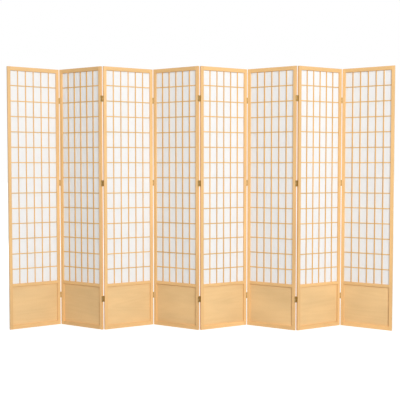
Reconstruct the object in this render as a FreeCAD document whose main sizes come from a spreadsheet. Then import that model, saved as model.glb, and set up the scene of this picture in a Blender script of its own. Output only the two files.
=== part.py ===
import FreeCAD, Part
import os
import re
import Sketcher

from FreeCAD import Rotation, Vector

# A folding screen of eight wooden panels standing in a zigzag, in millimetres.
# Each panel is a frame of two stiles and three rails, with a lattice of thin bars and a sheet
# of paper above and a plywood board below. Two-way hinges join neighbouring panels.
# A panel's own frame has its origin at the middle of its foot, x along the panel, y from its
# front to its back and z up. A hinge's own frame has its origin in the middle of the gap
# between two panels that stand in line, at half the hinge's height.

drivingSizes = {
    # the whole screen
    "panel_count": 8,
    "panel_height": 2133.6,
    "panel_width": 430,
    "panel_thickness": 19,
    "fold_angle": 28.66,
    "end_fold_angle": 32,
    # stiles and rails
    "stile_face": 25.4,
    "top_rail_height": 31,
    "mid_rail_height": 24,
    "bottom_rail_height": 32,
    "tenon_length": 16,
    "tenon_thickness": 7,
    "tenon_shoulder": 6,
    "edge_round": 1,
    # plywood board in the foot of each panel
    "kick_opening": 316,
    "kick_thickness": 4,
    "kick_recess": 12,
    "kick_edge": 5,
    "kick_play": 0.5,
    # lattice of half-lapped bars, counted in cells
    "lattice_columns": 6,
    "lattice_rows": 14,
    "bar_face": 6.5,
    "bar_depth": 6.5,
    "bar_recess": 6,
    "bar_tenon": 5,
    # sheet of paper behind the lattice
    "paper_thickness": 0.5,
    "paper_edge": 4,
    # two-way hinges
    "hinge_height": 47,
    "hinge_low_height": 251,
    "hinge_mid_height": 1193,
    "hinge_top_drop": 258,
    "leaf_thickness": 1,
    "leaf_play": 0.3,
    "leaf_margin": 2,
    "barrel_radius": 2.4,
    "knuckle_play": 0.3,
    "pin_radius": 1.3,
    "pin_clearance": 0.05,
    "pin_head_radius": 2.1,
    "pin_head_height": 1,
    "pin_end_play": 0.2,
    # countersunk screws in the hinge leaves
    "screw_radius": 1.3,
    "screw_head_radius": 2.6,
    "screw_length": 14,
    "screw_tip_length": 3,
    "screw_slot_width": 0.7,
    "screw_slot_depth": 0.7,
    "screw_stagger": 3,
    # middle of the zigzag's footprint, measured once the panels are placed
    "footprint_middle_x": 0,
    "footprint_middle_y": 0,
}

# Lengths that follow from the driving sizes, as expressions.
gap = "(3 * leaf_thickness + 2 * leaf_play)"
foldReach = f"(panel_width / 2 + {gap} / 2)"
# a knuckle turns just clear of the panels' edges, which are half a gap away on either side
barrelStandoff = f"sqrt((barrel_radius + knuckle_play) ^ 2 - ({gap} / 2) ^ 2)"
pinOffset = f"(panel_thickness / 2 + {barrelStandoff})"
leafWidth = "(panel_thickness - leaf_margin)"
front = "(-panel_thickness / 2)"
openingWidth = "(panel_width - 2 * stile_face)"
openingLeft = f"(-{openingWidth} / 2)"
kickTop = "(bottom_rail_height + kick_opening)"
latticeBottom = f"({kickTop} + mid_rail_height)"
latticeTop = "(panel_height - top_rail_height)"
kickGroove = "(kick_edge + kick_play)"
kickFront = f"({front} + kick_recess)"
barFront = f"({front} + bar_recess)"
paperFront = f"({barFront} + bar_depth)"
columnPitch = f"(({openingWidth} + bar_face) / lattice_columns)"
rowPitch = f"(({latticeTop} - {latticeBottom} + bar_face) / lattice_rows)"
firstColumn = f"({openingLeft} + {columnPitch} - bar_face)"
firstRow = f"({latticeBottom} + {rowPitch} - bar_face)"
knuckleHeight = "(hinge_height / 3)"
leafFace = f"(-{gap} / 2 + leaf_thickness)"

doc = FreeCAD.newDocument("FoldingScreen")
sheet = doc.addObject("Spreadsheet::Sheet", "Sizes")


# the sheet and the expressions that read it

def fillSheet():
    for row, (name, size) in enumerate(drivingSizes.items(), start=1):
        sheet.set(f"A{row}", name)
        sheet.set(f"B{row}", str(size))
        sheet.setAlias(f"B{row}", name)
    doc.recompute()


def bind(item, prop, text):
    def cellName(word):
        name = word.group()
        return f"Sizes.{name}" if name in drivingSizes else name
    item.setExpression(prop, re.sub(r"[a-z_]+", cellName, text))


def setPlace(item, x="0", y="0", z="0", angle="0"):
    for axis, text in (("x", x), ("y", y), ("z", z)):
        bind(item, f"Placement.Base.{axis}", text)
    bind(item, "Placement.Rotation.Angle", angle)


# sketches and solid features

def originFeature(body, role):
    return next(item for item in body.Origin.OriginFeatures if item.Role == role)


def newSketch(body, name, plane, lift="0"):
    sketch = body.newObject("Sketcher::SketchObject", name)
    sketch.AttachmentSupport = (originFeature(body, plane), [""])
    sketch.MapMode = "FlatFace"
    bind(sketch, "AttachmentOffset.Base.z", lift)
    return sketch


def dimension(sketch, kind, *rest):
    *ends, text = rest
    index = sketch.addConstraint(Sketcher.Constraint(kind, *ends, 1.0))
    name = f"{kind}{index}"
    sketch.renameConstraint(index, name)
    bind(sketch, f"Constraints.{name}", text)


def drawOutline(sketch, points):
    # a closed outline through points given as pairs of expressions
    count = len(points)
    first = sketch.GeometryCount
    spread = [Vector(index, index * index, 0) for index in range(count)]
    for index in range(count):
        sketch.addGeometry(Part.LineSegment(spread[index], spread[(index + 1) % count]))
    for index in range(count):
        following = first + (index + 1) % count
        sketch.addConstraint(Sketcher.Constraint("Coincident", first + index, 2, following, 1))
    for index, (x, y) in enumerate(points):
        dimension(sketch, "DistanceX", -1, 1, first + index, 1, x)
        dimension(sketch, "DistanceY", -1, 1, first + index, 1, y)


def drawRectangle(sketch, x, y, width, height):
    right = f"({x} + {width})"
    top = f"({y} + {height})"
    drawOutline(sketch, [(x, y), (right, y), (right, top), (x, top)])


def drawCircle(sketch, x, y, radius):
    index = sketch.addGeometry(Part.Circle(Vector(0, 0, 0), Vector(0, 0, 1), 1))
    dimension(sketch, "Radius", index, radius)
    dimension(sketch, "DistanceX", -1, 1, index, 3, x)
    dimension(sketch, "DistanceY", -1, 1, index, 3, y)


def pad(body, sketch, length, symmetric=False):
    feature = body.newObject("PartDesign::Pad", sketch.Name + "Pad")
    feature.Profile = sketch
    feature.SideType = "Symmetric" if symmetric else "One side"
    bind(feature, "Length", length)
    doc.recompute()
    return feature


def pocket(body, sketch, depth, upward=False):
    before = body.Shape.Volume
    feature = body.newObject("PartDesign::Pocket", sketch.Name + "Pocket")
    feature.Profile = sketch
    feature.Reversed = upward
    bind(feature, "Length", depth)
    doc.recompute()
    if body.Shape.Volume >= before:
        raise ValueError(f"{feature.Name} cuts nothing")
    return feature


def repeat(body, feature, axis, spacing, count):
    pattern = body.newObject("PartDesign::LinearPattern", feature.Name + "Row")
    pattern.Originals = [feature]
    pattern.Direction = (originFeature(body, axis), [""])
    pattern.Mode = "Spacing"
    bind(pattern, "Offset", spacing)
    bind(pattern, "Occurrences", count)
    body.Tip = pattern
    doc.recompute()
    return pattern


def easeLongEdges(body, feature, direction):
    # round every edge that runs along the piece
    alongShare = 0.999
    names = []
    for index, edge in enumerate(feature.Shape.Edges, start=1):
        run = edge.Vertexes[1].Point - edge.Vertexes[0].Point
        if abs(run.normalize().dot(direction)) > alongShare:
            names.append(f"Edge{index}")
    fillet = body.newObject("PartDesign::Fillet", feature.Name + "Ease")
    fillet.Base = (feature, names)
    bind(fillet, "Radius", "edge_round")
    doc.recompute()


# pieces of a panel, in the panel's own frame

def makeLeftStile():
    # grooves and mortises are cut inwards from the stile's inner face
    body = doc.addObject("PartDesign::Body", "LeftStile")
    section = newSketch(body, "StileSection", "XY_Plane")
    drawRectangle(section, "(-panel_width / 2)", front, "stile_face", "panel_thickness")
    easeLongEdges(body, pad(body, section, "panel_height"), Vector(0, 0, 1))

    mortises = newSketch(body, "RailMortises", "YZ_Plane", openingLeft)
    for bottom, height in railSpans.values():
        drawRectangle(mortises, "(-tenon_thickness / 2)", f"({bottom} + tenon_shoulder)",
                      "tenon_thickness", f"({height} - 2 * tenon_shoulder)")
    pocket(body, mortises, "tenon_length")

    kick = newSketch(body, "StileKickGroove", "YZ_Plane", openingLeft)
    drawRectangle(kick, kickFront, f"(bottom_rail_height - {kickGroove})",
                  "kick_thickness", f"(kick_opening + 2 * {kickGroove})")
    pocket(body, kick, kickGroove)

    paper = newSketch(body, "StilePaperGroove", "YZ_Plane", openingLeft)
    drawRectangle(paper, paperFront, f"({latticeBottom} - paper_edge)",
                  "paper_thickness", f"({latticeTop} - {latticeBottom} + 2 * paper_edge)")
    pocket(body, paper, "paper_edge")

    bar = newSketch(body, "StileBarMortise", "YZ_Plane", openingLeft)
    drawRectangle(bar, barFront, firstRow, "bar_depth", "bar_face")
    mortise = pocket(body, bar, "bar_tenon")
    repeat(body, mortise, "Z_Axis", rowPitch, "lattice_rows - 1")
    return body


def makeRail(name, bottom, height):
    # the block between the stiles, then a tenon through it that reaches into both
    body = doc.addObject("PartDesign::Body", name)
    block = newSketch(body, name + "Section", "YZ_Plane")
    drawRectangle(block, front, bottom, "panel_thickness", height)
    easeLongEdges(body, pad(body, block, openingWidth, symmetric=True), Vector(1, 0, 0))
    tenon = newSketch(body, name + "Tenon", "YZ_Plane")
    drawRectangle(tenon, "(-tenon_thickness / 2)", f"({bottom} + tenon_shoulder)",
                  "tenon_thickness", f"({height} - 2 * tenon_shoulder)")
    pad(body, tenon, f"({openingWidth} + 2 * tenon_length)", symmetric=True)
    return body


def cutRailForLattice(body, level, upward):
    # paper groove and bar mortises in the rail's face at this level
    paper = newSketch(body, body.Name + "PaperGroove", "XY_Plane", level)
    drawRectangle(paper, openingLeft, paperFront, openingWidth, "paper_thickness")
    pocket(body, paper, "paper_edge", upward)
    bar = newSketch(body, body.Name + "BarMortise", "XY_Plane", level)
    drawRectangle(bar, firstColumn, barFront, "bar_face", "bar_depth")
    mortise = pocket(body, bar, "bar_tenon", upward)
    repeat(body, mortise, "X_Axis", columnPitch, "lattice_columns - 1")


def cutRailForKickboard(body, level, upward):
    groove = newSketch(body, body.Name + "KickGroove", "XY_Plane", level)
    drawRectangle(groove, openingLeft, kickFront, openingWidth, "kick_thickness")
    pocket(body, groove, kickGroove, upward)


def makeUprightBars():
    # the upright bars are cut away at the front where the level bars cross them
    body = doc.addObject("PartDesign::Body", "UprightBars")
    section = newSketch(body, "UprightSection", "XY_Plane", f"({latticeBottom} - bar_tenon)")
    drawRectangle(section, firstColumn, barFront, "bar_face", "bar_depth")
    bar = pad(body, section, f"({latticeTop} - {latticeBottom} + 2 * bar_tenon)")
    repeat(body, bar, "X_Axis", columnPitch, "lattice_columns - 1")
    lap = newSketch(body, "UprightLap", "YZ_Plane")
    drawRectangle(lap, barFront, firstRow, "bar_depth / 2", "bar_face")
    cut = pocket(body, lap, openingWidth)
    cut.SideType = "Symmetric"
    repeat(body, cut, "Z_Axis", rowPitch, "lattice_rows - 1")
    return body


def makeLevelBars():
    # the level bars are cut away at the back where the upright bars cross them
    body = doc.addObject("PartDesign::Body", "LevelBars")
    section = newSketch(body, "LevelSection", "YZ_Plane")
    drawRectangle(section, barFront, firstRow, "bar_depth", "bar_face")
    bar = pad(body, section, f"({openingWidth} + 2 * bar_tenon)", symmetric=True)
    repeat(body, bar, "Z_Axis", rowPitch, "lattice_rows - 1")
    lap = newSketch(body, "LevelLap", "XY_Plane", latticeBottom)
    drawRectangle(lap, firstColumn, f"({barFront} + bar_depth / 2)", "bar_face", "bar_depth / 2")
    cut = pocket(body, lap, f"({latticeTop} - {latticeBottom})", upward=True)
    repeat(body, cut, "X_Axis", columnPitch, "lattice_columns - 1")
    return body


def makeSheet(name, y, thickness, bottom, height, edge):
    # a flat sheet whose edges sit this far inside the stiles and rails
    box = doc.addObject("Part::Box", name)
    bind(box, "Length", f"{openingWidth} + 2 * {edge}")
    bind(box, "Width", thickness)
    bind(box, "Height", f"{height} + 2 * {edge}")
    setPlace(box, f"{openingLeft} - {edge}", y, f"{bottom} - {edge}")
    return box


# pieces of a hinge, in the hinge's own frame

def makeLeaf():
    # the leaf on the left panel's edge, with its barrel in front of the gap
    body = doc.addObject("PartDesign::Body", "HingeLeaf")
    plate = newSketch(body, "LeafPlate", "XY_Plane")
    drawRectangle(plate, f"(-{gap} / 2)", f"(-{pinOffset})",
                  "leaf_thickness", f"({leafWidth} + {barrelStandoff})")
    pad(body, plate, "hinge_height", symmetric=True)
    barrel = newSketch(body, "LeafBarrel", "XY_Plane")
    drawCircle(barrel, "0", f"(-{pinOffset})", "barrel_radius")
    pad(body, barrel, "hinge_height", symmetric=True)
    bore = newSketch(body, "LeafBore", "XY_Plane")
    drawCircle(bore, "0", f"(-{pinOffset})", "(pin_radius + pin_clearance)")
    pocket(body, bore, "hinge_height").SideType = "Symmetric"
    # the middle third is open for the link's knuckle
    notch = newSketch(body, "LeafNotch", "XY_Plane")
    drawCircle(notch, "0", f"(-{pinOffset})", "(barrel_radius + knuckle_play)")
    pocket(body, notch, f"({knuckleHeight} + knuckle_play)").SideType = "Symmetric"
    doc.recompute()
    return body


def makeLink():
    # a plate between two barrels, which keep only their middle knuckles
    body = doc.addObject("PartDesign::Body", "HingeLink")
    plate = newSketch(body, "LinkPlate", "XY_Plane")
    drawRectangle(plate, "(-leaf_thickness / 2)", f"(-{pinOffset})",
                  "leaf_thickness", f"(2 * {pinOffset})")
    pad(body, plate, "hinge_height", symmetric=True)
    barrels = newSketch(body, "LinkBarrels", "XY_Plane")
    bores = newSketch(body, "LinkBores", "XY_Plane")
    above = newSketch(body, "LinkAbove", "XY_Plane", f"({knuckleHeight} - knuckle_play) / 2")
    below = newSketch(body, "LinkBelow", "XY_Plane", f"-({knuckleHeight} - knuckle_play) / 2")
    for centre in (f"(-{pinOffset})", pinOffset):
        drawCircle(barrels, "0", centre, "barrel_radius")
        drawCircle(bores, "0", centre, "pin_radius")
        drawCircle(above, "0", centre, "(barrel_radius + knuckle_play)")
        drawCircle(below, "0", centre, "(barrel_radius + knuckle_play)")
    pad(body, barrels, "hinge_height", symmetric=True)
    pocket(body, bores, "hinge_height").SideType = "Symmetric"
    pocket(body, above, "hinge_height", upward=True)
    pocket(body, below, "hinge_height")
    return body


def makeTurned(name, points):
    # a piece turned about z, from points of radius and height
    body = doc.addObject("PartDesign::Body", name)
    profile = newSketch(body, name + "Profile", "XZ_Plane")
    drawOutline(profile, points)
    turning = body.newObject("PartDesign::Revolution", name + "Turning")
    turning.Profile = profile
    turning.ReferenceAxis = (profile, ["V_Axis"])
    turning.Angle = 360
    doc.recompute()
    return body


def makePin():
    shoulder = "(hinge_height / 2 + pin_end_play)"
    top = "(hinge_height / 2 + pin_end_play + pin_head_height)"
    brow = "(hinge_height / 2 + pin_end_play + pin_head_height / 2)"
    upper = [("pin_radius", shoulder), ("pin_head_radius", shoulder),
             ("pin_head_radius", brow), ("pin_head_radius / 2", top), ("0", top)]
    lower = [(radius, f"(-{height})") for radius, height in reversed(upper)]
    return makeTurned("HingePin", lower + upper)


def makeScrewBlank():
    # stands on its tip, with the flat of its head at z = 0
    neck = "(screw_radius - screw_head_radius)"
    tip = "(screw_tip_length - screw_length)"
    return makeTurned("ScrewBlank", [
        ("0", "0"), ("screw_head_radius", "0"), ("screw_radius", neck),
        ("screw_radius", tip), ("0", "(-screw_length)")])


def slotScrew(blank):
    slot = doc.addObject("Part::Box", "ScrewSlot")
    bind(slot, "Length", "2 * screw_head_radius")
    bind(slot, "Width", "screw_slot_width")
    bind(slot, "Height", "screw_slot_depth")
    setPlace(slot, "-screw_head_radius", "-screw_slot_width / 2", "-screw_slot_depth")
    return cutAway("Screw", blank, slot)


# grouping, copying and placing

def cutAway(name, base, tool):
    cut = doc.addObject("Part::Cut", name)
    cut.Base = base
    cut.Tool = tool
    return cut


def group(name, pieces, **place):
    compound = doc.addObject("Part::Compound", name)
    compound.Links = pieces
    setPlace(compound, **place)
    return compound


def leafScrews(name, piece):
    # three screws in a leaf, heads flush with its face, pointing into the stile
    laid = doc.addObject("Part::Compound", name + "Laid")
    laid.Links = [piece]
    laid.Placement.Rotation = Rotation(Vector(0, 0, 1), Vector(1, 0, 0))
    middle = f"({front} + {leafWidth} / 2)"
    spots = [("-", knuckleHeight), ("+", "0"), ("-", f"-{knuckleHeight}")]
    return group(name, [
        group(f"{name}{index}", [laid], x=leafFace, y=f"{middle} {side} screw_stagger", z=height)
        for index, (side, height) in enumerate(spots, start=1)])


def atStations(name, piece):
    # one copy at the height of each of a fold's three hinges
    heights = ("hinge_low_height", "hinge_mid_height", "panel_height - hinge_top_drop")
    return group(name, [
        group(f"{name}{index}", [piece], z=height) for index, height in enumerate(heights, start=1)])


def onRightEdge(name, piece):
    return group(name, [piece], x=foldReach)


def onLeftEdge(name, piece):
    return group(name, [piece], x=f"-{foldReach}", angle="180")


def panelAngle(number):
    if number == 1:
        return "end_fold_angle"
    return "fold_angle" if number % 2 else "(-fold_angle)"


def placeOf(item, axis):
    # a length without its unit, like the sheet's
    return f"{item.Name}.Placement.Base.{axis} / 1 mm"


def placeByNeighbour(item, number, neighbour):
    # the panels turn about the front pin where the fold points away, else about the back pin
    if number == 1:
        setPlace(item, "-footprint_middle_x", "-footprint_middle_y", "0", panelAngle(1))
        return
    here = panelAngle(number)
    there = panelAngle(number - 1)
    arm = pinOffset if number % 2 == 0 else f"(-{pinOffset})"
    along = f"{foldReach} * (cos({there}) + cos({here})) + {arm} * (sin({there}) - sin({here}))"
    across = f"{foldReach} * (sin({there}) + sin({here})) - {arm} * (cos({there}) - cos({here}))"
    setPlace(item, f"{placeOf(neighbour, 'x')} + {along}", f"{placeOf(neighbour, 'y')} + {across}",
             "0", here)


def placeLinks(item, fold, left, right):
    # a link lies along the panel that it does not turn against
    beside, reach = (right, f"(-{foldReach})") if fold % 2 else (left, foldReach)
    turn = panelAngle(fold + 1 if fold % 2 else fold)
    setPlace(item, f"{placeOf(beside, 'x')} + {reach} * cos({turn})",
             f"{placeOf(beside, 'y')} + {reach} * sin({turn})", "0", turn)


# the screen

fillSheet()
railSpans = {
    "TopRail": (latticeTop, "top_rail_height"),
    "MidRail": (kickTop, "mid_rail_height"),
    "BottomRail": ("0", "bottom_rail_height"),
}
rails = {name: makeRail(name, *span) for name, span in railSpans.items()}
cutRailForLattice(rails["TopRail"], latticeTop, upward=True)
cutRailForLattice(rails["MidRail"], latticeBottom, upward=False)
cutRailForKickboard(rails["MidRail"], kickTop, upward=True)
cutRailForKickboard(rails["BottomRail"], "bottom_rail_height", upward=False)

leftStile = makeLeftStile()
rightStile = doc.addObject("Part::Mirroring", "RightStile")
rightStile.Source = leftStile
rightStile.Normal = Vector(1, 0, 0)

screwBlank = makeScrewBlank()
screw = slotScrew(screwBlank)
leafHoles = leafScrews("LeafHole", screwBlank)
fixedLeaf = group("FixedLeaf", [
    cutAway("DrilledLeaf", makeLeaf(), leafHoles), leafScrews("LeafScrew", screw)])
holes = atStations("Holes", leafHoles)
fixedLeaves = atStations("Leaves", fixedLeaf)
hingeOn = {
    "left": onLeftEdge("LeftLeaves", fixedLeaves),
    "right": onRightEdge("RightLeaves", fixedLeaves),
}
plainStile = {"left": leftStile, "right": rightStile}
drilledStile = {
    "left": cutAway("DrilledLeftStile", leftStile, onLeftEdge("LeftHoles", holes)),
    "right": cutAway("DrilledRightStile", rightStile, onRightEdge("RightHoles", holes)),
}

lattice = [makeUprightBars(), makeLevelBars()]
paper = makeSheet("PaperSheet", paperFront, "paper_thickness", latticeBottom,
                  f"({latticeTop} - {latticeBottom})", "paper_edge")
kickboard = makeSheet("KickSheet", kickFront, "kick_thickness", "bottom_rail_height",
                      "kick_opening", "kick_edge")

pin = makePin()
links = atStations("Links", group("LinkedPins", [
    makeLink(),
    group("FrontPin", [pin], y=f"-{pinOffset}"),
    group("BackPin", [pin], y=pinOffset)]))

panelCount = int(sheet.panel_count)
nodes = []
panels = {}
for number in range(1, panelCount + 1):
    hinged = {"left": number > 1, "right": number < panelCount}
    contents = {
        "stiles": [drilledStile[side] if hinged[side] else plainStile[side] for side in hinged],
        "rails": list(rails.values()),
        "lattice": lattice,
        "paper": [paper],
        "kickboard": [kickboard],
        "hinge_leaves": [hingeOn[side] for side in hinged if hinged[side]],
    }
    for kind, pieces in contents.items():
        node = doc.addObject("Part::Compound", f"Panel{number}_{kind}")
        node.Label = f"panel_{number}_{kind}"
        node.Links = pieces
        if kind == "stiles":
            placeByNeighbour(node, number, panels.get(number - 1))
            panels[number] = node
        else:
            node.setExpression("Placement", f"{panels[number].Name}.Placement")
        nodes.append(node)

for fold in range(1, panelCount):
    node = doc.addObject("Part::Compound", f"Fold{fold}_links")
    node.Label = f"fold_{fold}_{fold + 1}_hinge_links"
    node.Links = [links]
    placeLinks(node, fold, panels[fold], panels[fold + 1])
    nodes.append(node)
doc.recompute()

# stand the row on its origin: the middle of its footprint
footprint = FreeCAD.BoundBox()
for node in nodes:
    footprint.add(node.Shape.BoundBox)
sheet.set("footprint_middle_x", str(footprint.Center.x))
sheet.set("footprint_middle_y", str(footprint.Center.y))
doc.recompute()

for item in doc.Objects:
    if "Invalid" in item.State or "Error" in item.State:
        raise ValueError(f"{item.Label} failed: {item.State}")
for node in nodes:
    if node.Shape.isNull() or not node.Shape.isValid():
        raise ValueError(f"{node.Label} has no valid shape")

os.makedirs("parts", exist_ok=True)
for node in nodes:
    node.Shape.exportStep(f"parts/{node.Label}.step")
print(f"{len(nodes)} nodes, {sum(len(node.Shape.Solids) for node in nodes)} solids")
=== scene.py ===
import math

import bmesh
import bpy
import numpy as np
from mathutils import Matrix, Vector


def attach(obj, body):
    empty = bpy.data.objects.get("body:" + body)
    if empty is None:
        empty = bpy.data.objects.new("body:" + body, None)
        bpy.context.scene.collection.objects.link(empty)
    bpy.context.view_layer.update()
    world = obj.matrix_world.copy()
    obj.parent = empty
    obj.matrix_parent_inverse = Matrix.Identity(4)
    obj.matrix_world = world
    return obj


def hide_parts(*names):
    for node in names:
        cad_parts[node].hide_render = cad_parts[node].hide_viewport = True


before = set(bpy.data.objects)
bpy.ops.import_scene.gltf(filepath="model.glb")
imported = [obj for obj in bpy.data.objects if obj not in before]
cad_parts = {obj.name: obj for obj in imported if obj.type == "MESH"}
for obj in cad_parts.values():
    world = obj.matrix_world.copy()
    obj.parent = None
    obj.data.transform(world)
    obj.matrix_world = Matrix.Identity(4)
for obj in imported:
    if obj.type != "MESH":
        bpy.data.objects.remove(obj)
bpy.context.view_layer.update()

# Folding screen. Its stiles, rails, paper and boards keep the shapes they have in the CAD frame and
# get their finishes here. The lattice bars and the two-way hinges are made here. Lengths are metres.

screen = {
    "panelCount": 8,
    "width": 0.430,
    "height": 2.1336,
    "thickness": 0.019,
    "stileFace": 0.0254,
    "topRail": 0.031,
    "midRailTop": 0.372,  # above the floor, and the lattice starts there
    "hingeGap": 0.0036,  # between neighbouring stiles
}
openingWidth = screen["width"] - 2 * screen["stileFace"]
latticeTop = screen["height"] - screen["topRail"]
hingeReach = (screen["width"] + screen["hingeGap"]) / 2
panelNumbers = range(1, screen["panelCount"] + 1)
foldNumbers = range(1, screen["panelCount"])


# small helpers for node trees

def addNode(tree, kind, inputs=(), **settings):
    made = tree.nodes.new(kind)
    for name, value in settings.items():
        setattr(made, name, value)
    for key, value in dict(inputs).items():
        if isinstance(value, bpy.types.NodeSocket):
            tree.links.new(value, made.inputs[key])
        else:
            made.inputs[key].default_value = value
    return made


def mathNode(tree, operation, first, second=0.0, clamp=False):
    return addNode(tree, "ShaderNodeMath", {0: first, 1: second},
                   operation=operation, use_clamp=clamp).outputs[0]


def vectorNode(tree, operation, first, second):
    return addNode(tree, "ShaderNodeVectorMath", {0: first, 1: second}, operation=operation).outputs[0]


def scaled(tree, vector, amount):
    return addNode(tree, "ShaderNodeVectorMath", {0: vector, "Scale": amount},
                   operation="SCALE").outputs[0]


def lengthOf(tree, vector):
    return addNode(tree, "ShaderNodeVectorMath", {0: vector}, operation="LENGTH").outputs["Value"]


def mixColours(tree, factor, first, second, blend="MIX"):
    mix = addNode(tree, "ShaderNodeMix", {0: factor, 6: first, 7: second},
                  data_type="RGBA", blend_type=blend)
    return mix.outputs[2]


def spread(tree, value, low, high, toLow, toHigh):
    return addNode(tree, "ShaderNodeMapRange",
                   {"Value": value, "From Min": low, "From Max": high,
                    "To Min": toLow, "To Max": toHigh}).outputs[0]


def noise(tree, point, scale, detail=2.0, roughness=0.5):
    # scale is waves per metre along each axis
    stretched = vectorNode(tree, "MULTIPLY", point, scale)
    made = addNode(tree, "ShaderNodeTexNoise",
                   {"Vector": stretched, "Scale": 1.0, "Detail": detail, "Roughness": roughness})
    return made.outputs["Fac"]


def grey(level):
    return level, level, level, 1.0


white = grey(1.0)


def newMaterial(name, plainColour):
    material = bpy.data.materials.new(name)
    material.use_nodes = True
    material.diffuse_color = plainColour
    tree = material.node_tree
    tree.nodes.clear()
    return material, tree


def finishMaterial(tree, shader):
    addNode(tree, "ShaderNodeOutputMaterial", {"Surface": shader})


# where each panel stands

def nodePoints(name):
    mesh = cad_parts[name].data
    points = np.empty(len(mesh.vertices) * 3, np.float32)
    mesh.vertices.foreach_get("co", points)
    return points.reshape(-1, 3).astype(float)


def panelPlace(number):
    # the board gives the panel's direction, and the outsides of its stiles give its middle
    board = nodePoints(f"panel_{number}_kickboard")[:, :2]
    along = np.linalg.svd(board - board.mean(axis=0), full_matrices=False)[2][0]
    along *= np.sign(along[0])
    across = np.array([-along[1], along[0]])
    stiles = nodePoints(f"panel_{number}_stiles")[:, :2]
    centre = sum(way * (np.max(stiles @ way) + np.min(stiles @ way)) / 2 for way in (along, across))
    turn = math.atan2(along[1], along[0])
    return Matrix.Translation((*centre, 0.0)) @ Matrix.Rotation(turn, 4, "Z")


panelPlaces = {number: panelPlace(number) for number in panelNumbers}
print("panels placed:", [round(math.degrees(place.to_euler().z), 1) for place in panelPlaces.values()])


# camera, studio and lamps

camera = {
    "place": (0.108, -5.882, 1.317),
    "tiltDown": 2.554,  # degrees
    "turn": 1.096,  # degrees, to the left
    "focalPixels": 717.0,
    "picturePixels": 400,
    "sensor": 36.0,  # millimetres
}
studio = {
    "floorRadius": 60.0,
    "floorColour": 0.55,  # as the light that it throws back sees it
    "floorShade": 0.45,  # as the camera sees it, with the glow added
    "floorGlow": 0.78,
    "floorFade": (5.0, 14.0),  # from the middle, where the floor turns to plain white
    "floorSides": 64,
    "ambient": 0.325,
    "keyPlace": (3.15, -9.0, 4.25),
    "lampAim": (0.0, 0.0, 1.0),
    "keySize": 0.7,
    "keyPower": 680.0,
    "backPlace": (-3.5, 6.5, 3.4),
    "backSize": 2.5,
    "backPower": 190.0,
}


def makeCamera():
    data = bpy.data.cameras.new("photoCamera")
    data.sensor_width = camera["sensor"]
    data.lens = camera["focalPixels"] / camera["picturePixels"] * camera["sensor"]
    data.clip_end = 4 * studio["floorRadius"]
    seat = bpy.data.objects.new("photoCamera", data)
    seat.location = camera["place"]
    seat.rotation_euler = (math.radians(90 - camera["tiltDown"]), 0.0, math.radians(camera["turn"]))
    bpy.context.scene.collection.objects.link(seat)
    bpy.context.scene.camera = seat


def seenDirectly(tree):
    # 1 for rays from the camera, for what metal reflects and for what comes through the paper
    path = addNode(tree, "ShaderNodeLightPath")
    either = mathNode(tree, "MAXIMUM", path.outputs["Is Camera Ray"], path.outputs["Is Glossy Ray"])
    return mathNode(tree, "MAXIMUM", either, path.outputs["Is Transmission Ray"])


def makeWorld():
    world = bpy.data.worlds.new("whiteRoom")
    bpy.context.scene.world = world
    world.use_nodes = True
    tree = world.node_tree
    tree.nodes.clear()
    strength = spread(tree, seenDirectly(tree), 0.0, 1.0, studio["ambient"], 1.0)
    background = addNode(tree, "ShaderNodeBackground", {"Color": white, "Strength": strength})
    addNode(tree, "ShaderNodeOutputWorld", {"Surface": background.outputs[0]})


def makeFloor():
    # white to the camera, but the panels' soft shadows still show on it near them
    material, tree = newMaterial("paleFloor", grey(studio["floorColour"]))
    plain = addNode(tree, "ShaderNodeBsdfDiffuse", {"Color": grey(studio["floorColour"])})
    shaded = addNode(tree, "ShaderNodeBsdfDiffuse", {"Color": grey(studio["floorShade"])})
    away = lengthOf(tree, addNode(tree, "ShaderNodeTexCoord").outputs["Object"])
    strength = spread(tree, away, *studio["floorFade"], studio["floorGlow"], 1.0)
    glow = addNode(tree, "ShaderNodeEmission", {"Strength": strength})
    seen = addNode(tree, "ShaderNodeAddShader", {0: shaded.outputs[0], 1: glow.outputs[0]})
    finishMaterial(tree, addNode(tree, "ShaderNodeMixShader", {
        0: seenDirectly(tree), 1: plain.outputs[0], 2: seen.outputs[0]}).outputs[0])
    mesh = bpy.data.meshes.new("studioFloor")
    shape = bmesh.new()
    bmesh.ops.create_circle(shape, cap_ends=True, segments=studio["floorSides"],
                            radius=studio["floorRadius"])
    shape.to_mesh(mesh)
    shape.free()
    mesh.materials.append(material)
    floor = bpy.data.objects.new("studioFloor", mesh)
    bpy.context.scene.collection.objects.link(floor)


def makeLamp(name, place, size, power):
    data = bpy.data.lights.new(name, "AREA")
    data.shape = "DISK"
    data.size = size
    data.energy = power
    lamp = bpy.data.objects.new(name, data)
    lamp.location = place
    towards = Vector(studio["lampAim"]) - Vector(place)
    lamp.rotation_euler = towards.to_track_quat("-Z", "Y").to_euler()
    lamp.visible_camera = False
    bpy.context.scene.collection.objects.link(lamp)


makeCamera()
makeWorld()
makeFloor()
makeLamp("keyLamp", studio["keyPlace"], studio["keySize"], studio["keyPower"])
makeLamp("backLamp", studio["backPlace"], studio["backSize"], studio["backPower"])
bpy.context.scene.view_settings.view_transform = "Standard"
print("camera and studio ready")


# finishes

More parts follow.
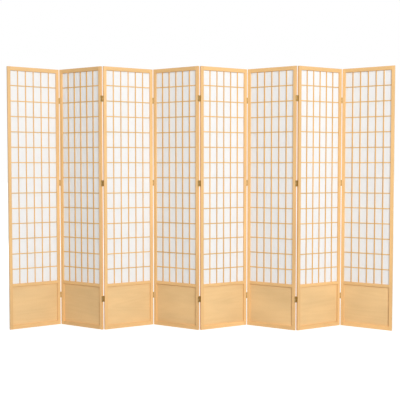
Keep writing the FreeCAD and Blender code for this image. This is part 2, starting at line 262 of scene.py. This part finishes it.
frameLook = {
    "early": (0.890, 0.562, 0.246, 1.0),
    "late": (0.775, 0.430, 0.162, 1.0),
    "lateShare": 0.36,
    "ringWidth": 0.0021,  # from one year's ring to the next
    "pith": (0.11, 0.16, 0.0),  # the tree's middle, beside the stick
    "driftScale": (7.0, 7.0, 0.9),
    "drift": 0.011,
    "fibreScale": (950.0, 950.0, 16.0),
    "fibreDetail": 4.0,
    "fibreRoughness": 0.6,
    "fibreShare": 0.16,
    "toneScale": (16.0, 16.0, 1.3),
    "toneDetail": 3.0,
    "toneShare": 0.09,
    "pieceShare": 0.05,
    "gloss": (0.40, 0.54),
    "shine": 0.42,
    "coat": 0.12,
    "coatRoughness": 0.28,
    "relief": 0.00003,
    "bumpShare": 0.5,
    "ringReliefShare": 0.5,
    "ringSteps": ((0.55, 0.16), (0.86, 1.0)),  # part of a year's ring, and how dark it is there
    "scatter": 3.0,
    "panelStep": 10.37,  # no two sticks have the same number, so none has another's grain
    "railStep": 5.11,
}
boardLook = {
    "pale": (0.890, 0.605, 0.296, 1.0),
    "dark": (0.790, 0.510, 0.228, 1.0),
    "figureScale": (1.1, 3.0, 8.5),
    "figureDetail": 1.0,
    "figureLines": 16.0,
    "figureShare": 0.22,
    "streakScale": (9.0, 60.0, 420.0),
    "streakDetail": 4.0,
    "streakRoughness": 0.6,
    "streakShare": 0.24,
    "poreScale": (60.0, 60.0, 1500.0),
    "poreShare": 0.10,
    "toneScale": (2.2, 2.0, 5.0),
    "toneShare": 0.08,
    "streakRange": (0.35, 0.75),
    "poreRange": (0.55, 0.75),
    "gloss": (0.46, 0.62),
    "shine": 0.38,
    "relief": 0.00004,
    "bumpShare": 0.5,
    "panelStep": 2.93,
}
paperLook = {
    "pale": (0.930, 0.932, 0.933, 1.0),
    "dense": (0.885, 0.880, 0.870, 1.0),
    "throughShare": 0.28,
    "cloudScale": (26.0, 26.0, 26.0),
    "cloudDetail": 3.0,
    "cloudShare": 0.22,
    "fibreScale": (22.0, 300.0, 520.0),
    "fibreTurns": (18.0, -34.0, 74.0),  # degrees
    "fibreShare": 0.55,
    "cloudRange": (0.35, 0.75),
    "fibreRange": (0.60, 0.72),
    "gloss": (0.78, 0.92),
    "shine": 0.2,
    "relief": 0.00015,
    "bumpShare": 0.4,
    "panelStep": 4.7,
}
bronzeLook = {
    "worn": (0.620, 0.425, 0.140, 1.0),
    "dark": (0.320, 0.205, 0.062, 1.0),
    "wearScale": (260.0, 260.0, 180.0),
    "wearDetail": 4.0,
    "wearRoughness": 0.65,
    "brushScale": (2600.0, 2600.0, 90.0),
    "brushShare": 0.25,
    "wearRange": (0.50, 0.82),
    "gloss": (0.30, 0.55),
    "metallic": 0.9,
    "relief": 0.00005,
    "bumpShare": 0.4,
}
screwLook = dict(bronzeLook, worn=(0.72, 0.50, 0.18, 1.0), dark=(0.42, 0.27, 0.08, 1.0))
# the links are lighter than the leaves all over: a painted highlight for the bright spot in each hinge's
# middle
linkHighlightLook = dict(bronzeLook, worn=(0.740, 0.560, 0.290, 1.0), dark=(0.420, 0.300, 0.140, 1.0))
noiseRange = (0.3, 0.7)  # a noise texture nearly always stays between these


def panelPoint(tree, number):
    # object coordinates turned into the panel's own: along it, through it and up
    place = panelPlaces[number]
    coordinates = addNode(tree, "ShaderNodeTexCoord")
    mapping = addNode(tree, "ShaderNodeMapping", {
        "Vector": coordinates.outputs["Object"], "Location": place.translation,
        "Rotation": (0.0, 0.0, place.to_euler().z)}, vector_type="TEXTURE")
    return mapping.outputs[0]


def splitPoint(tree, point):
    return addNode(tree, "ShaderNodeSeparateXYZ", {0: point}).outputs


def joinPoint(tree, x, y, z):
    return addNode(tree, "ShaderNodeCombineXYZ", {0: x, 1: y, 2: z}).outputs[0]


def aroundOne(share):
    return 1 - share, 1 + share


def reliefOf(tree, height, look):
    return addNode(tree, "ShaderNodeBump", {
        "Strength": look["bumpShare"], "Distance": look["relief"], "Height": height}).outputs[0]


def paintWood(tree, point, piece, look, paintedShade=None):
    # point has the grain along z, and piece is a number that differs from stick to stick
    chance = addNode(tree, "ShaderNodeTexWhiteNoise", {"W": piece}, noise_dimensions="1D")
    moved = vectorNode(tree, "ADD", point, scaled(tree, chance.outputs["Color"], look["scatter"]))
    drift = noise(tree, moved, look["driftScale"])
    fromPith = vectorNode(tree, "SUBTRACT", point, look["pith"])
    away = lengthOf(tree, vectorNode(tree, "MULTIPLY", fromPith, (1.0, 1.0, 0.0)))
    bent = mathNode(tree, "ADD", away, mathNode(tree, "MULTIPLY", drift, look["drift"]))
    shuffled = mathNode(tree, "ADD", mathNode(tree, "DIVIDE", bent, look["ringWidth"]), piece)
    ring = addNode(tree, "ShaderNodeValToRGB", {"Fac": mathNode(tree, "FRACT", shuffled)})
    stops = ring.color_ramp.elements
    for stop in stops:
        stop.color = grey(0.0)
    for position, lateness in look["ringSteps"]:
        stops.new(position).color = grey(lateness)
    late = mathNode(tree, "MULTIPLY", ring.outputs["Color"], look["lateShare"])
    colour = mixColours(tree, late, look["early"], look["late"])
    # when given, painted shade darkens the whole colour
    if paintedShade:
        colour = mixColours(tree, 1.0, colour, paintedShade, blend="MULTIPLY")
    fibre = noise(tree, moved, look["fibreScale"], look["fibreDetail"], look["fibreRoughness"])
    tone = noise(tree, moved, look["toneScale"], look["toneDetail"])
    streak = spread(tree, fibre, *noiseRange, *aroundOne(look["fibreShare"] / 2))
    patch = spread(tree, tone, *noiseRange, *aroundOne(look["toneShare"]))
    stick = spread(tree, chance.outputs["Value"], 0.0, 1.0, *aroundOne(look["pieceShare"]))
    level = mathNode(tree, "MULTIPLY", mathNode(tree, "MULTIPLY", streak, patch), stick)
    colour = scaled(tree, colour, level)
    rises = mathNode(tree, "MULTIPLY", ring.outputs["Color"], look["ringReliefShare"])
    bump = reliefOf(tree, mathNode(tree, "ADD", fibre, rises), look)
    shader = addNode(tree, "ShaderNodeBsdfPrincipled", {
        "Base Color": colour, "Normal": bump,
        "Roughness": spread(tree, fibre, *noiseRange, *look["gloss"]),
        "Coat Weight": look["coat"], "Coat Roughness": look["coatRoughness"],
        "Specular IOR Level": look["shine"]})
    finishMaterial(tree, shader.outputs[0])


def stileWood(number):
    material, tree = newMaterial(f"stileWood{number}", frameLook["early"])
    point = panelPoint(tree, number)
    rightSide = mathNode(tree, "GREATER_THAN", splitPoint(tree, point)[0], 0.0)
    piece = mathNode(tree, "ADD", rightSide, frameLook["panelStep"] * number)
    paintWood(tree, point, piece, frameLook)
    return material


def railWood(number):
    # the grain of a rail runs along the panel
    material, tree = newMaterial(f"railWood{number}", frameLook["early"])
    x, y, z = splitPoint(tree, panelPoint(tree, number))
    aboveBoard = mathNode(tree, "GREATER_THAN", z, screen["midRailTop"] / 2)
    atTop = mathNode(tree, "GREATER_THAN", z, screen["height"] / 2)
    piece = mathNode(tree, "ADD", mathNode(tree, "ADD", aboveBoard, atTop),
                     frameLook["panelStep"] * number + frameLook["railStep"])
    paintWood(tree, joinPoint(tree, z, y, x), piece, frameLook)
    return material


def boardVeneer(number):
    # sliced veneer with its figure lying level
    look = boardLook
    material, tree = newMaterial(f"boardVeneer{number}", look["pale"])
    point = vectorNode(tree, "ADD", panelPoint(tree, number), (0.0, 0.0, look["panelStep"] * number))
    figure = noise(tree, point, look["figureScale"], look["figureDetail"])
    lines = mathNode(tree, "PINGPONG", mathNode(tree, "MULTIPLY", figure, look["figureLines"]), 1.0)
    streak = noise(tree, point, look["streakScale"], look["streakDetail"], look["streakRoughness"])
    pore = noise(tree, point, look["poreScale"])
    tone = noise(tree, point, look["toneScale"])
    dark = mathNode(tree, "ADD", mathNode(tree, "MULTIPLY", lines, look["figureShare"]),
                    spread(tree, streak, *look["streakRange"], 0.0, look["streakShare"]))
    veneer = mixColours(tree, dark, look["pale"], look["dark"])
    pores = spread(tree, pore, *look["poreRange"], 1.0, 1 - look["poreShare"])
    patch = spread(tree, tone, *noiseRange, *aroundOne(look["toneShare"]))
    shader = addNode(tree, "ShaderNodeBsdfPrincipled", {
        "Base Color": scaled(tree, veneer, mathNode(tree, "MULTIPLY", pores, patch)),
        "Normal": reliefOf(tree, mathNode(tree, "ADD", streak, pore), look),
        "Roughness": spread(tree, streak, *noiseRange, *look["gloss"]),
        "Specular IOR Level": look["shine"]})
    finishMaterial(tree, shader.outputs[0])
    return material


def screenPaper(number):
    # long fibres in three directions over faint clouds, and some light comes through
    look = paperLook
    material, tree = newMaterial(f"screenPaper{number}", look["pale"])
    point = vectorNode(tree, "ADD", panelPoint(tree, number), (look["panelStep"] * number, 0.0, 0.0))
    cloud = noise(tree, point, look["cloudScale"], look["cloudDetail"])
    strands = 0.0
    for turn in look["fibreTurns"]:
        turned = addNode(tree, "ShaderNodeMapping", {
            "Vector": point, "Rotation": (0.0, math.radians(turn), 0.0),
            "Location": (turn, 0.0, 0.0)}).outputs[0]
        fibre = noise(tree, turned, look["fibreScale"])
        strands = mathNode(tree, "MAXIMUM", spread(tree, fibre, *look["fibreRange"], 0.0, 1.0), strands)
    dense = mathNode(tree, "ADD", spread(tree, cloud, *look["cloudRange"], 0.0, look["cloudShare"]),
                     mathNode(tree, "MULTIPLY", strands, look["fibreShare"]), clamp=True)
    colour = mixColours(tree, dense, look["pale"], look["dense"])
    bump = reliefOf(tree, mathNode(tree, "ADD", strands, cloud), look)
    front = addNode(tree, "ShaderNodeBsdfPrincipled", {
        "Base Color": colour, "Roughness": spread(tree, cloud, *noiseRange, *look["gloss"]),
        "Specular IOR Level": look["shine"], "Normal": bump})
    through = addNode(tree, "ShaderNodeBsdfTranslucent", {"Color": colour, "Normal": bump})
    finishMaterial(tree, addNode(tree, "ShaderNodeMixShader", {
        0: look["throughShare"], 1: front.outputs[0], 2: through.outputs[0]}).outputs[0])
    return material


def agedBronze(name, look):
    material, tree = newMaterial(name, look["worn"])
    point = addNode(tree, "ShaderNodeTexCoord").outputs["Object"]
    wear = noise(tree, point, look["wearScale"], look["wearDetail"], look["wearRoughness"])
    brush = noise(tree, point, look["brushScale"])
    rubbed = mathNode(tree, "ADD", wear, mathNode(tree, "MULTIPLY", brush, look["brushShare"]))
    worn = spread(tree, rubbed, *look["wearRange"], 0.0, 1.0)
    shader = addNode(tree, "ShaderNodeBsdfPrincipled", {
        "Base Color": mixColours(tree, worn, look["dark"], look["worn"]),
        "Roughness": spread(tree, wear, *noiseRange, *look["gloss"]),
        "Metallic": look["metallic"],
        "Normal": reliefOf(tree, mathNode(tree, "ADD", brush, wear), look)})
    finishMaterial(tree, shader.outputs[0])
    return material


hingeBronze = agedBronze("hingeBronze", bronzeLook)
screwBronze = agedBronze("screwBronze", screwLook)
# the links' lighter metal is a painted highlight
linkBronze = agedBronze("linkBronze", linkHighlightLook)

for number in panelNumbers:
    finishes = {
        "stiles": stileWood(number),
        "rails": railWood(number),
        "paper": screenPaper(number),
        "kickboard": boardVeneer(number),
    }
    for part, material in finishes.items():
        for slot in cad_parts[f"panel_{number}_{part}"].material_slots:
            slot.material = material
print("finishes ready")


# geometry node trees

def newTree(name, sockets):
    tree = bpy.data.node_groups.new(name, "GeometryNodeTree")
    tree.interface.new_socket(name="Geometry", in_out="INPUT", socket_type="NodeSocketGeometry")
    names = {}
    for label, kind in sockets.items():
        made = tree.interface.new_socket(name=label, in_out="INPUT", socket_type="NodeSocket" + kind)
        names[label] = made.identifier
    tree.interface.new_socket(name="Geometry", in_out="OUTPUT", socket_type="NodeSocketGeometry")
    return tree, names, tree.nodes.new("NodeGroupInput").outputs


def growMesh(name, tree, names, values, base=None):
    # runs the tree on an object and keeps the result as a plain mesh
    start = base or bpy.data.meshes.new(name + "Start")
    holder = bpy.data.objects.new(name + "Holder", start)
    bpy.context.scene.collection.objects.link(holder)
    modifier = holder.modifiers.new(name, "NODES")
    modifier.node_group = tree
    for label, value in values.items():
        modifier[names[label]] = value
    graph = bpy.context.evaluated_depsgraph_get()
    mesh = bpy.data.meshes.new_from_object(holder.evaluated_get(graph), depsgraph=graph,
                                           preserve_all_data_layers=True)
    holder.modifiers.remove(modifier)
    bpy.data.objects.remove(holder)
    mesh.name = name
    return mesh


def placePiece(name, mesh, place, body, node):
    mesh.transform(place)
    piece = bpy.data.objects.new(name, mesh)
    bpy.context.scene.collection.objects.link(piece)
    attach(piece, body)
    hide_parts(node)


# lattice bars

bars = {
    "columns": 6,
    "rows": 14,
    "face": 0.0065,
    "depth": 0.0065,
    "recess": 0.006,
    "ease": 0.0005,
    "easeSteps": 2,
    "tenon": 0.004,
    "firstLevel": 100.5,  # the numbers that the bars' grain is drawn from
    "firstUpright": 0.5,
    "panelStep": 211.0,
}
# the uprights' darker tint is painted shade for their shaded sides and the shadows beside them
latticeLook = dict(frameLook, early=(0.800, 0.500, 0.150, 1.0), late=(0.695, 0.380, 0.100, 1.0),
                   ringWidth=0.0013, pieceShare=0.07, uprightPaintedShade=(1.0, 0.88, 0.66, 1.0))


def barWood():
    # the bars carry their own grain point and number, and the uprights get painted shade: a darker amber
    # that stands for their shaded sides and the shadows they throw on the paper
    material, tree = newMaterial("barWood", latticeLook["early"])
    point = addNode(tree, "ShaderNodeAttribute", attribute_name="grainPoint").outputs["Vector"]
    piece = addNode(tree, "ShaderNodeAttribute", attribute_name="barNumber").outputs["Fac"]
    withinPanel = mathNode(tree, "MODULO", piece, bars["panelStep"])
    upright = mathNode(tree, "LESS_THAN", withinPanel, bars["firstLevel"] - bars["firstUpright"])
    # painted shade on the uprights only
    paintedShade = mixColours(tree, upright, white, latticeLook["uprightPaintedShade"])
    paintWood(tree, point, piece, latticeLook, paintedShade)
    return material


def latticeTree():
    tree, names, given = newTree("latticeBars", {
        "Columns": "Int", "Rows": "Int", "Face": "Float", "Depth": "Float", "Recess": "Float",
        "Ease": "Float", "Ease Steps": "Int", "Tenon": "Float", "Opening Width": "Float",
        "Opening Bottom": "Float", "Opening Top": "Float", "Panel Thickness": "Float",
        "Wood": "Material"})

    def work(operation, first, second):
        return mathNode(tree, operation, first, second)

    def half(length):
        return work("DIVIDE", length, 2.0)

    height = work("SUBTRACT", given["Opening Top"], given["Opening Bottom"])
    columnPitch = work("DIVIDE", work("ADD", given["Opening Width"], given["Face"]), given["Columns"])
    rowPitch = work("DIVIDE", work("ADD", height, given["Face"]), given["Rows"])
    cell = work("SUBTRACT", rowPitch, given["Face"])
    halfWidth = half(given["Opening Width"])
    barFront = work("SUBTRACT", given["Recess"], half(given["Panel Thickness"]))
    barCentre = work("ADD", barFront, half(given["Depth"]))
    columnFromEdge = work("SUBTRACT", columnPitch, half(given["Face"]))
    firstColumn = work("SUBTRACT", columnFromEdge, halfWidth)
    rowFromSill = work("SUBTRACT", rowPitch, half(given["Face"]))
    firstRow = work("ADD", rowFromSill, given["Opening Bottom"])

    section = addNode(tree, "GeometryNodeCurvePrimitiveQuadrilateral",
                      {"Width": given["Face"], "Height": given["Depth"]})
    eased = addNode(tree, "GeometryNodeFilletCurve", {
        "Curve": section.outputs[0], "Radius": given["Ease"], "Count": given["Ease Steps"]}, mode="POLY")

    def stick(start, end):
        line = addNode(tree, "GeometryNodeCurvePrimitiveLine", {"Start": start, "End": end})
        return addNode(tree, "GeometryNodeCurveToMesh", {
            "Curve": line.outputs[0], "Profile Curve": eased.outputs[0], "Fill Caps": True}).outputs[0]

    def rowOf(piece, amount, start, step):
        line = addNode(tree, "GeometryNodeMeshLine", {
            "Count": amount, "Start Location": start, "Offset": step}, mode="OFFSET")
        return addNode(tree, "GeometryNodeInstanceOnPoints",
                       {"Points": line.outputs[0], "Instance": piece}).outputs[0]

    def numbered(copies, firstNumber):
        index = addNode(tree, "GeometryNodeInputIndex").outputs[0]
        kept = addNode(tree, "GeometryNodeStoreNamedAttribute", {
            "Geometry": copies, "Name": "barNumber", "Value": work("ADD", index, firstNumber)},
            data_type="FLOAT", domain="INSTANCE")
        return addNode(tree, "GeometryNodeRealizeInstances", {"Geometry": kept.outputs[0]}).outputs[0]

    def grained(geometry, point):
        return addNode(tree, "GeometryNodeStoreNamedAttribute", {
            "Geometry": geometry, "Name": "grainPoint", "Value": point},
            data_type="FLOAT_VECTOR", domain="POINT").outputs[0]

    # the level bars lie in front at each crossing, and the uprights stop on them
    rightEnd = work("ADD", halfWidth, given["Tenon"])
    leftEnd = work("MULTIPLY", rightEnd, -1.0)
    level = stick(joinPoint(tree, leftEnd, 0.0, 0.0), joinPoint(tree, rightEnd, 0.0, 0.0))
    levels = rowOf(level, work("SUBTRACT", given["Rows"], 1.0),
                   joinPoint(tree, 0.0, barCentre, firstRow), joinPoint(tree, 0.0, 0.0, rowPitch))
    short = stick((0.0, 0.0, 0.0), joinPoint(tree, 0.0, 0.0, cell))
    upright = rowOf(short, given["Rows"], (0.0, 0.0, 0.0), joinPoint(tree, 0.0, 0.0, rowPitch))
    whole = addNode(tree, "GeometryNodeRealizeInstances", {"Geometry": upright}).outputs[0]
    uprights = rowOf(whole, work("SUBTRACT", given["Columns"], 1.0),
                     joinPoint(tree, firstColumn, barCentre, given["Opening Bottom"]),
                     joinPoint(tree, columnPitch, 0.0, 0.0))
    position = addNode(tree, "GeometryNodeInputPosition").outputs[0]
    x, y, z = splitPoint(tree, position)
    levels = grained(numbered(levels, bars["firstLevel"]), joinPoint(tree, z, y, x))
    uprights = grained(numbered(uprights, bars["firstUpright"]), position)
    both = addNode(tree, "GeometryNodeJoinGeometry")
    tree.links.new(levels, both.inputs[0])
    tree.links.new(uprights, both.inputs[0])
    wooden = addNode(tree, "GeometryNodeSetMaterial", {
        "Geometry": both.outputs[0], "Material": given["Wood"]})
    tree.links.new(wooden.outputs[0], tree.nodes.new("NodeGroupOutput").inputs[0])
    return tree, names


latticeNodes, latticeNames = latticeTree()
latticeValues = {
    "Columns": bars["columns"], "Rows": bars["rows"], "Face": bars["face"], "Depth": bars["depth"],
    "Recess": bars["recess"], "Ease": bars["ease"], "Ease Steps": bars["easeSteps"],
    "Tenon": bars["tenon"], "Opening Width": openingWidth, "Opening Bottom": screen["midRailTop"],
    "Opening Top": latticeTop, "Panel Thickness": screen["thickness"], "Wood": barWood(),
}
for number in panelNumbers:
    mesh = growMesh(f"panel{number}Lattice", latticeNodes, latticeNames, latticeValues)
    for item in mesh.attributes["barNumber"].data:
        item.value += bars["panelStep"] * number
    placePiece(f"panel{number}Lattice", mesh, panelPlaces[number], f"panel_{number}",
               f"panel_{number}_lattice")
print("lattice bars made")


# two-way hinges, in their own frame: the middle of the gap, at half their height

hinge = {
    "height": 0.047,
    "stations": (0.251, 1.193, 1.8756),  # their middles above the floor
    "leafThickness": 0.001,
    "leafEnd": 0.0075,  # from the middle of the stile's edge, away from its pin
    "cornerRadius": 0.0022,
    "cornerSteps": 5,
    "barrelRadius": 0.0024,
    "boreRadius": 0.00135,
    "pinRadius": 0.0013,
    "play": 0.0003,
    "barrelEase": 0.00025,
    "barrelSides": 32,
    "headRadius": 0.0021,
    "headHeight": 0.001,
    "headShares": ((1.0, 0.5), (0.85, 0.8), (0.5, 1.0), (0.0, 1.0)),  # of its radius and height
    "pinEndPlay": 0.0002,
    "weld": 0.0000001,
    "sharpAngle": 35.0,  # degrees
}
screws = {
    "headRadius": 0.0026,
    "crown": 0.00016,
    "crownShare": 0.72,  # of the radius, where the head is at its highest
    "rimShare": 1 / 3,  # of the crown, at the rim
    "slotWidth": 0.0007,
    "slotDepth": 0.00045,
    "slotShare": 0.96,  # of the radius
    "seatShare": 1.5,  # of the slot's depth, down to the underside
    "sides": 28,
    "stagger": 0.003,
    "seed": 11,
}
knuckle = hinge["height"] / 3
halfGap = screen["hingeGap"] / 2
leafFace = hinge["leafThickness"] - halfGap
screwColumn = (hinge["leafEnd"] - screen["thickness"] / 2) / 2
# a pin stands where its barrel clears the corners of both stiles
cornerClearance = hinge["barrelRadius"] + hinge["play"]
pinOffset = screen["thickness"] / 2 + math.sqrt(cornerClearance ** 2 - halfGap ** 2)
stationPoints = [(0.0, 0.0, height) for height in hinge["stations"]]


def turnedRing(shape, points, centre, sides, closed):
    # spins points of radius and height about an upright axis through centre
    turns = [2 * math.pi * side / sides for side in range(sides)]
    rings = []
    for radius, height in points:
        if radius == 0.0:
            rings.append([shape.verts.new((*centre, height))])
            continue
        rings.append([shape.verts.new((centre[0] + radius * math.cos(turn),
                                       centre[1] + radius * math.sin(turn), height))
                      for turn in turns])
    follow = rings[1:] + (rings[:1] if closed else [])
    for lower, upper in zip(rings, follow):
        for side in range(sides):
            beyond = (side + 1) % sides
            corners = [lower[side % len(lower)], lower[beyond % len(lower)],
                       upper[beyond % len(upper)], upper[side % len(upper)]]
            face = shape.faces.new(list(dict.fromkeys(corners)))
            face.smooth = True


def barrel(shape, centre, low, high):
    ease = hinge["barrelEase"]
    outer, inner = hinge["barrelRadius"], hinge["boreRadius"]
    turnedRing(shape, [(inner, low), (outer - ease, low), (outer, low + ease), (outer, high - ease),
                       (outer - ease, high), (inner, high)], centre, hinge["barrelSides"], closed=True)


def plate(shape, outline, low, high):
    # a flat plate, its outline given along y and z, between two values of x
    back = [shape.verts.new((low, y, z)) for y, z in outline]
    front = [shape.verts.new((high, y, z)) for y, z in outline]
    shape.faces.new(back)
    shape.faces.new(front[::-1])
    for index in range(len(outline)):
        beyond = (index + 1) % len(outline)
        shape.faces.new((back[index], front[index], front[beyond], back[beyond]))


def roundedCorner(y, z, upward):
    radius = hinge["cornerRadius"]
    centre = (y - radius, z - radius if upward else z + radius)
    start = 0.0 if upward else -math.pi / 2
    steps = hinge["cornerSteps"]
    turns = [start + math.pi / 2 * step / steps for step in range(steps + 1)]
    return [(centre[0] + radius * math.cos(turn), centre[1] + radius * math.sin(turn)) for turn in turns]


def closeMesh(shape, name, material):
    bmesh.ops.remove_doubles(shape, verts=shape.verts, dist=hinge["weld"])
    bmesh.ops.recalc_face_normals(shape, faces=shape.faces)
    mesh = bpy.data.meshes.new(name)
    shape.to_mesh(mesh)
    shape.free()
    mesh.set_sharp_from_angle(angle=math.radians(hinge["sharpAngle"]))
    mesh.materials.append(material)
    return mesh


def leafMesh():
    # the plate is open for the link's knuckle in its middle third
    half = hinge["height"] / 2
    cutHalf = (knuckle + hinge["play"]) / 2
    near = -pinOffset + hinge["barrelRadius"] / 2
    clear = -pinOffset + hinge["barrelRadius"] + hinge["play"]
    outline = [(near, -half), *roundedCorner(hinge["leafEnd"], -half, upward=False),
               *roundedCorner(hinge["leafEnd"], half, upward=True), (near, half), (near, cutHalf),
               (clear, cutHalf), (clear, -cutHalf), (near, -cutHalf)]
    shape = bmesh.new()
    plate(shape, outline, -halfGap, leafFace)
    barrel(shape, (0.0, -pinOffset), -half, -cutHalf)
    barrel(shape, (0.0, -pinOffset), cutHalf, half)
    return closeMesh(shape, "hingeLeaf", hingeBronze)


def linkMesh():
    half = hinge["height"] / 2
    own = (knuckle - hinge["play"]) / 2
    near = pinOffset - hinge["barrelRadius"] / 2
    clear = pinOffset - hinge["barrelRadius"] - hinge["play"]
    outline = [(-clear, -half), (clear, -half), (clear, -own), (near, -own), (near, own), (clear, own),
               (clear, half), (-clear, half), (-clear, own), (-near, own), (-near, -own), (-clear, -own)]
    shape = bmesh.new()
    plate(shape, outline, -hinge["leafThickness"] / 2, hinge["leafThickness"] / 2)
    shoulder = half + hinge["pinEndPlay"]
    head = [(hinge["headRadius"], shoulder)]
    for wide, tall in hinge["headShares"]:
        head.append((wide * hinge["headRadius"], shoulder + tall * hinge["headHeight"]))
    upper = [(hinge["pinRadius"], shoulder), *head]
    lower = [(radius, -height) for radius, height in reversed(upper)]
    for side in (-1, 1):
        centre = (0.0, side * pinOffset)
        barrel(shape, centre, -own, own)
        turnedRing(shape, lower + upper, centre, hinge["barrelSides"], closed=False)
    return closeMesh(shape, "hingeLink", linkBronze)


def screwMesh():
    # a crowned head with a straight slot, facing +z
    shape = bmesh.new()
    radius, crown = screws["headRadius"], screws["crown"]
    wide, deep = screws["slotWidth"] / 2, screws["slotDepth"]
    inward = screws["crownShare"]
    end = radius * screws["slotShare"]
    steps = screws["sides"] // 2
    for side in (-1, 1):
        rim = []
        for step in range(steps + 1):
            angle = math.acos(wide / radius) * (2 * step / steps - 1)
            rim.append((side * radius * math.cos(angle), radius * math.sin(angle)))
        slotEdge = side * wide
        flat = [shape.verts.new((x, y, -deep)) for x, y in rim]
        edge = [shape.verts.new((x, y, crown * screws["rimShare"])) for x, y in rim]
        inner = [shape.verts.new((slotEdge + (x - slotEdge) * inward, y * inward, crown))
                 for x, y in rim]
        for row, beyond in ((flat, edge), (edge, inner)):
            for index in range(len(rim) - 1):
                shape.faces.new((row[index], row[index + 1], beyond[index + 1], beyond[index]))
            shape.faces.new((row[0], beyond[0], beyond[-1], row[-1]))
        shape.faces.new(inner)
        shape.faces.new(flat[::-1])
    # the floor of the slot is the top of a small block
    corners = ((-wide, -end), (wide, -end), (wide, end), (-wide, end))
    lower = [shape.verts.new((x, y, -screws["seatShare"] * deep)) for x, y in corners]
    upper = [shape.verts.new((x, y, -deep)) for x, y in corners]
    shape.faces.new(lower)
    shape.faces.new(upper)
    for index in range(len(corners)):
        beyond = (index + 1) % len(corners)
        shape.faces.new((lower[index], lower[beyond], upper[beyond], upper[index]))
    return closeMesh(shape, "screwHead", screwBronze)


def copiesTree():
    # puts a piece on every point, each turned by chance about its own z, then laid over
    tree, names, given = newTree("hingeCopies", {
        "Piece": "Object", "Lay Over": "Vector", "Most Turn": "Float", "Seed": "Int",
        "Metal": "Material"})
    piece = addNode(tree, "GeometryNodeObjectInfo", {"Object": given["Piece"]})
    chance = addNode(tree, "FunctionNodeRandomValue", {"Seed": given["Seed"]}, data_type="FLOAT")
    tree.links.new(given["Most Turn"], chance.inputs[3])
    turned = addNode(tree, "FunctionNodeRotateEuler", {
        "Rotation": joinPoint(tree, 0.0, 0.0, chance.outputs[1]), "Rotate By": given["Lay Over"]},
        space="OBJECT")
    copies = addNode(tree, "GeometryNodeInstanceOnPoints", {
        "Points": given["Geometry"], "Instance": piece.outputs["Geometry"],
        "Rotation": turned.outputs[0]})
    real = addNode(tree, "GeometryNodeRealizeInstances", {"Geometry": copies.outputs[0]})
    metal = addNode(tree, "GeometryNodeSetMaterial", {
        "Geometry": real.outputs[0], "Material": given["Metal"]})
    tree.links.new(metal.outputs[0], tree.nodes.new("NodeGroupOutput").inputs[0])
    return tree, names


def pointsMesh(name, points):
    mesh = bpy.data.meshes.new(name)
    mesh.from_pydata(points, [], [])
    return mesh


def sourceObject(mesh):
    # kept out of the scene, so that it is only a shape to copy
    return bpy.data.objects.new(mesh.name, mesh)


def joinMeshes(name, meshes):
    shape = bmesh.new()
    materials = []
    for mesh in meshes:
        before = len(shape.faces)
        shape.from_mesh(mesh)
        shape.faces.ensure_lookup_table()
        for face in shape.faces[before:]:
            face.material_index = len(materials)
        materials.append(mesh.materials[0])
    joined = bpy.data.meshes.new(name)
    shape.to_mesh(joined)
    shape.free()
    for material in materials:
        joined.materials.append(material)
    return joined


copiesNodes, copiesNames = copiesTree()
leafSource = sourceObject(leafMesh())
linkSource = sourceObject(linkMesh())
screwSource = sourceObject(screwMesh())


def hingeCopies(name, source, points, metal, layOver=(0.0, 0.0, 0.0), mostTurn=0.0, seed=0):
    return growMesh(name, copiesNodes, copiesNames, {
        "Piece": source, "Lay Over": layOver, "Most Turn": mostTurn, "Seed": seed, "Metal": metal},
        base=pointsMesh(name + "Points", points))


def leavesOnEdge(name, seed):
    # three leaves with three staggered screws each
    plates = hingeCopies(name + "Plates", leafSource, stationPoints, hingeBronze)
    spots = []
    for station in hinge["stations"]:
        for side, height in ((-1, knuckle), (1, 0.0), (-1, -knuckle)):
            spots.append((leafFace, screwColumn + side * screws["stagger"], station + height))
    heads = hingeCopies(name + "Screws", screwSource, spots, screwBronze,
                        layOver=(0.0, math.pi / 2, 0.0), mostTurn=math.pi, seed=seed)
    return joinMeshes(name, [plates, heads])


halfTurn = Matrix.Rotation(math.pi, 4, "Z")


def panelLeaves(number):
    # only an edge with a neighbour has leaves, and the left edge has the right one's turned round
    shape = bmesh.new()
    if number < screen["panelCount"]:
        rightEdge = leavesOnEdge(f"panel{number}RightLeaves", screws["seed"] + 2 * number)
        rightEdge.transform(Matrix.Translation((hingeReach, 0.0, 0.0)))
        shape.from_mesh(rightEdge)
    if number > 1:
        leftEdge = leavesOnEdge(f"panel{number}LeftLeaves", screws["seed"] + 2 * number + 1)
        leftEdge.transform(Matrix.Translation((-hingeReach, 0.0, 0.0)) @ halfTurn)
        shape.from_mesh(leftEdge)
    mesh = bpy.data.meshes.new(f"panel{number}Leaves")
    shape.to_mesh(mesh)
    shape.free()
    mesh.materials.append(hingeBronze)
    mesh.materials.append(screwBronze)
    return mesh


for number in panelNumbers:
    placePiece(f"panel{number}Leaves", panelLeaves(number), panelPlaces[number], f"panel_{number}",
               f"panel_{number}_hinge_leaves")

for fold in foldNumbers:
    # at rest the links of a fold lie in line with the even one of its two panels
    mesh = hingeCopies(f"fold{fold}Links", linkSource, stationPoints, linkBronze)
    beside = fold + fold % 2
    edge = -hingeReach if fold % 2 else hingeReach
    place = panelPlaces[beside] @ Matrix.Translation((edge, 0.0, 0.0))
    placePiece(f"fold{fold}Links", mesh, place, f"fold_{fold}_{fold + 1}_links",
               f"fold_{fold}_{fold + 1}_hinge_links")
print("hinges made")
